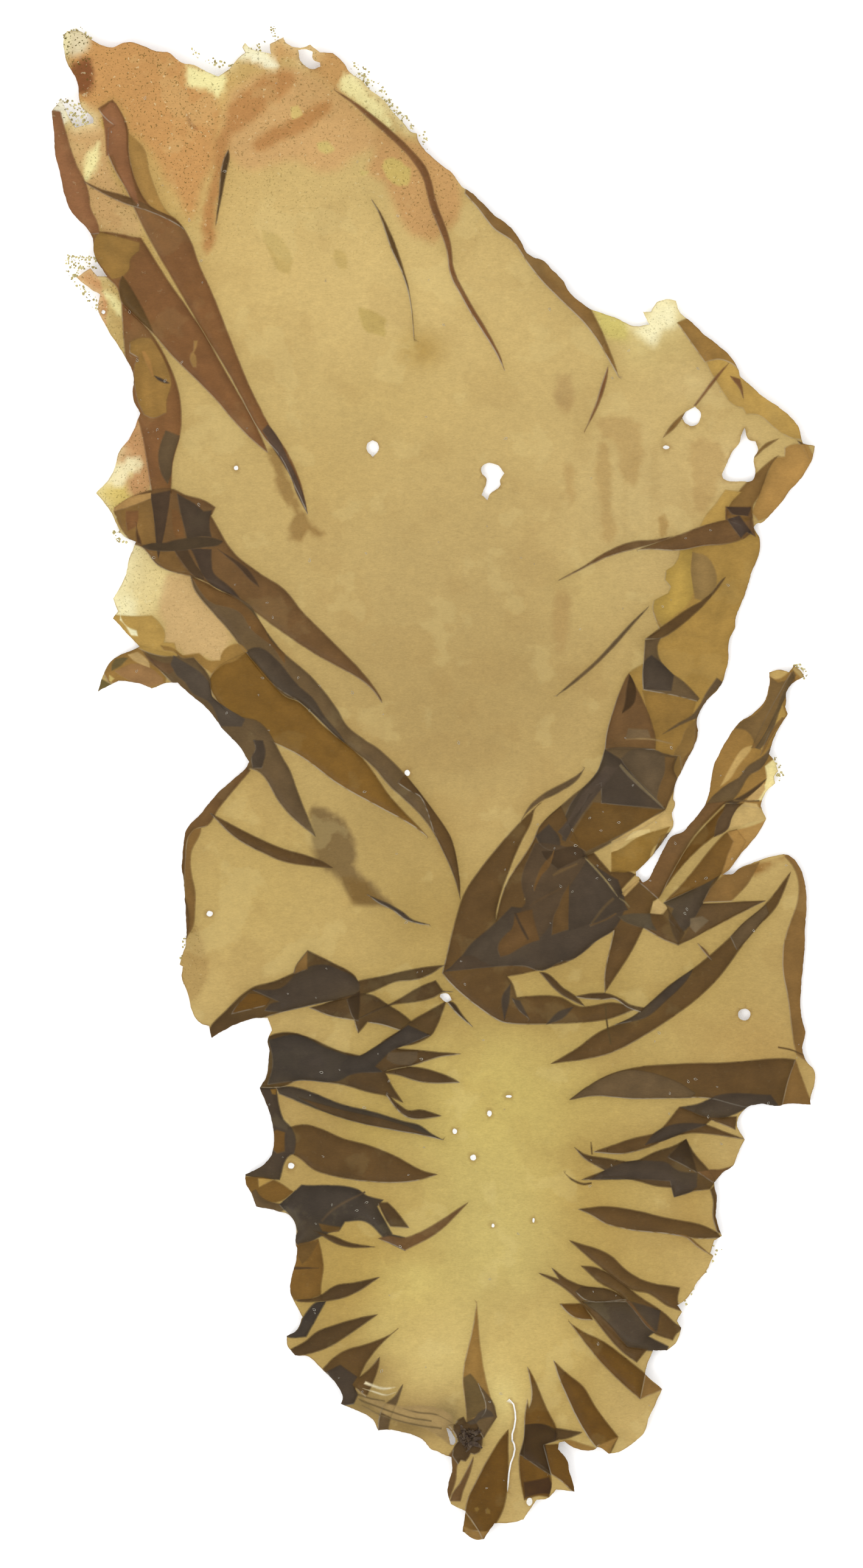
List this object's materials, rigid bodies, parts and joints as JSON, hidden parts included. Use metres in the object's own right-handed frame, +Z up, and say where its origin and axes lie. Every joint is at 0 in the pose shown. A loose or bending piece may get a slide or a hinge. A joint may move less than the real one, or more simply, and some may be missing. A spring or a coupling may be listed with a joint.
{
  "type": "pressed seaweed blade",
  "caption": "Thin dried blade of a red seaweed, pressed flat, with a ragged margin, small tears, narrow pleats folded over and a small crumpled foot at one end.",
  "frame": {"origin": "the middle of the blade's box, on the surface that it lies on", "axes": "+Z up off the surface, +Y along the blade from its foot to its broad torn end, +X to the right of it seen from above"},
  "size_m": [0.1144, 0.2262, 0.0031],
  "materials": {
    "dried_skin": "thin dried translucent skin, satin, olive brown where single and dark brown where folded"
  },
  "bodies": {
    "root": {"blade": "dried_skin"}
  },
  "joints": []
}
